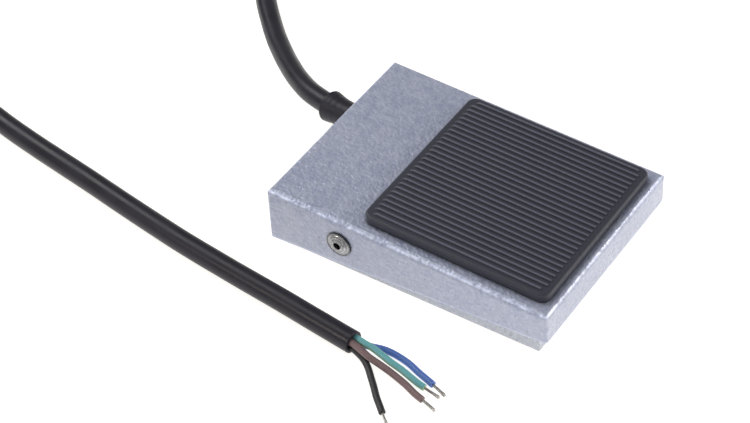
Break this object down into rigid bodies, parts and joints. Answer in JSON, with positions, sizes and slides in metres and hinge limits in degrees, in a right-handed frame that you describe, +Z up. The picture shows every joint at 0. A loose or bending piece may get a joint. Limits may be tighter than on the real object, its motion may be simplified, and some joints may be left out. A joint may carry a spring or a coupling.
{
  "type": "foot switch",
  "caption": "Low steel foot switch: a wedge-shaped tilting cover with a ribbed rubber tread pad on a folded base, and a cable with stripped cores.",
  "frame": {"origin": "middle of the casing's footprint, cable left out, on the surface that the rubber feet stand on", "axes": "+Z up, +Y towards the side that the cable leaves from, -Y towards the toe end of the tread pad, X along the pivot rivets"},
  "size_m": [0.2372, 0.3289, 0.0281],
  "materials": {
    "grey_paint": "hammertone",
    "black_rubber": "matt",
    "bright_steel": "zinc plated",
    "dark_steel": "dull",
    "black_plastic": "matt",
    "pale_plastic": "satin",
    "tinned_brass": "tinned",
    "cable_jacket": "satin",
    "core_brown": "satin",
    "core_black": "satin",
    "core_blue": "satin",
    "core_green_yellow": "satin",
    "tinned_copper": "stranded"
  },
  "bodies": {
    "base": {"base_pan": "grey_paint", "rubber_feet": "black_rubber", "pivot_rivets": "bright_steel", "rivet_mandrels": "dark_steel", "spring_post": "bright_steel", "return_spring": "bright_steel", "switch_bracket": "bright_steel", "bracket_rivets": "bright_steel", "switch_case": "black_plastic", "lever_pin": "bright_steel", "switch_terminals": "tinned_brass", "terminal_sleeves": "black_plastic", "switch_screws": "bright_steel", "switch_nuts": "bright_steel", "strain_relief": "black_rubber", "cable_sheath": "cable_jacket", "cable_tie": "black_plastic", "core_brown": "core_brown", "core_black": "core_black", "core_blue": "core_blue", "core_earth": "core_green_yellow", "earth_tag": "tinned_brass", "earth_washer": "bright_steel", "earth_screw": "bright_steel", "cord_lead": "cable_jacket", "cord_coil": "cable_jacket", "coil_ties": "black_plastic", "cord_free_end": "cable_jacket", "tail_green_yellow": "core_green_yellow", "tail_blue": "core_blue", "tail_brown": "core_brown", "tail_black": "core_black", "tail_strands": "tinned_copper"},
    "cover": {"pedal_cover": "grey_paint", "tread_pad": "black_rubber", "cover_striker": "bright_steel", "cover_spring_seat": "bright_steel"},
    "lever": {"switch_lever": "bright_steel"},
    "plunger": {"switch_plunger": "pale_plastic"}
  },
  "joints": [
    {"name": "cover_tilt", "type": "hinge", "parent": "base", "child": "cover", "pos_m": [0, 0.0256, 0.0145], "axis": [1, 0, 0], "range_deg": [0, 3], "stiffness_Nm_per_rad": 5, "springref_deg": -4.58, "deforming": ["return_spring"]},
    {"name": "lever_tilt", "type": "hinge", "parent": "base", "child": "lever", "pos_m": [-0.012, 0.0056, 0.0171], "axis": [1, 0, 0], "range_deg": [0, 7.3]},
    {"name": "plunger_slide", "type": "slide", "parent": "base", "child": "plunger", "axis": [0, 0, -1], "range_m": [0, 0.00064]}
  ],
  "couplings": [
    {"joint": "lever_tilt", "follows": "cover_tilt", "ratio": 2.4},
    {"joint": "plunger_slide", "follows": "cover_tilt", "m_per_rad": 0.01213}
  ]
}
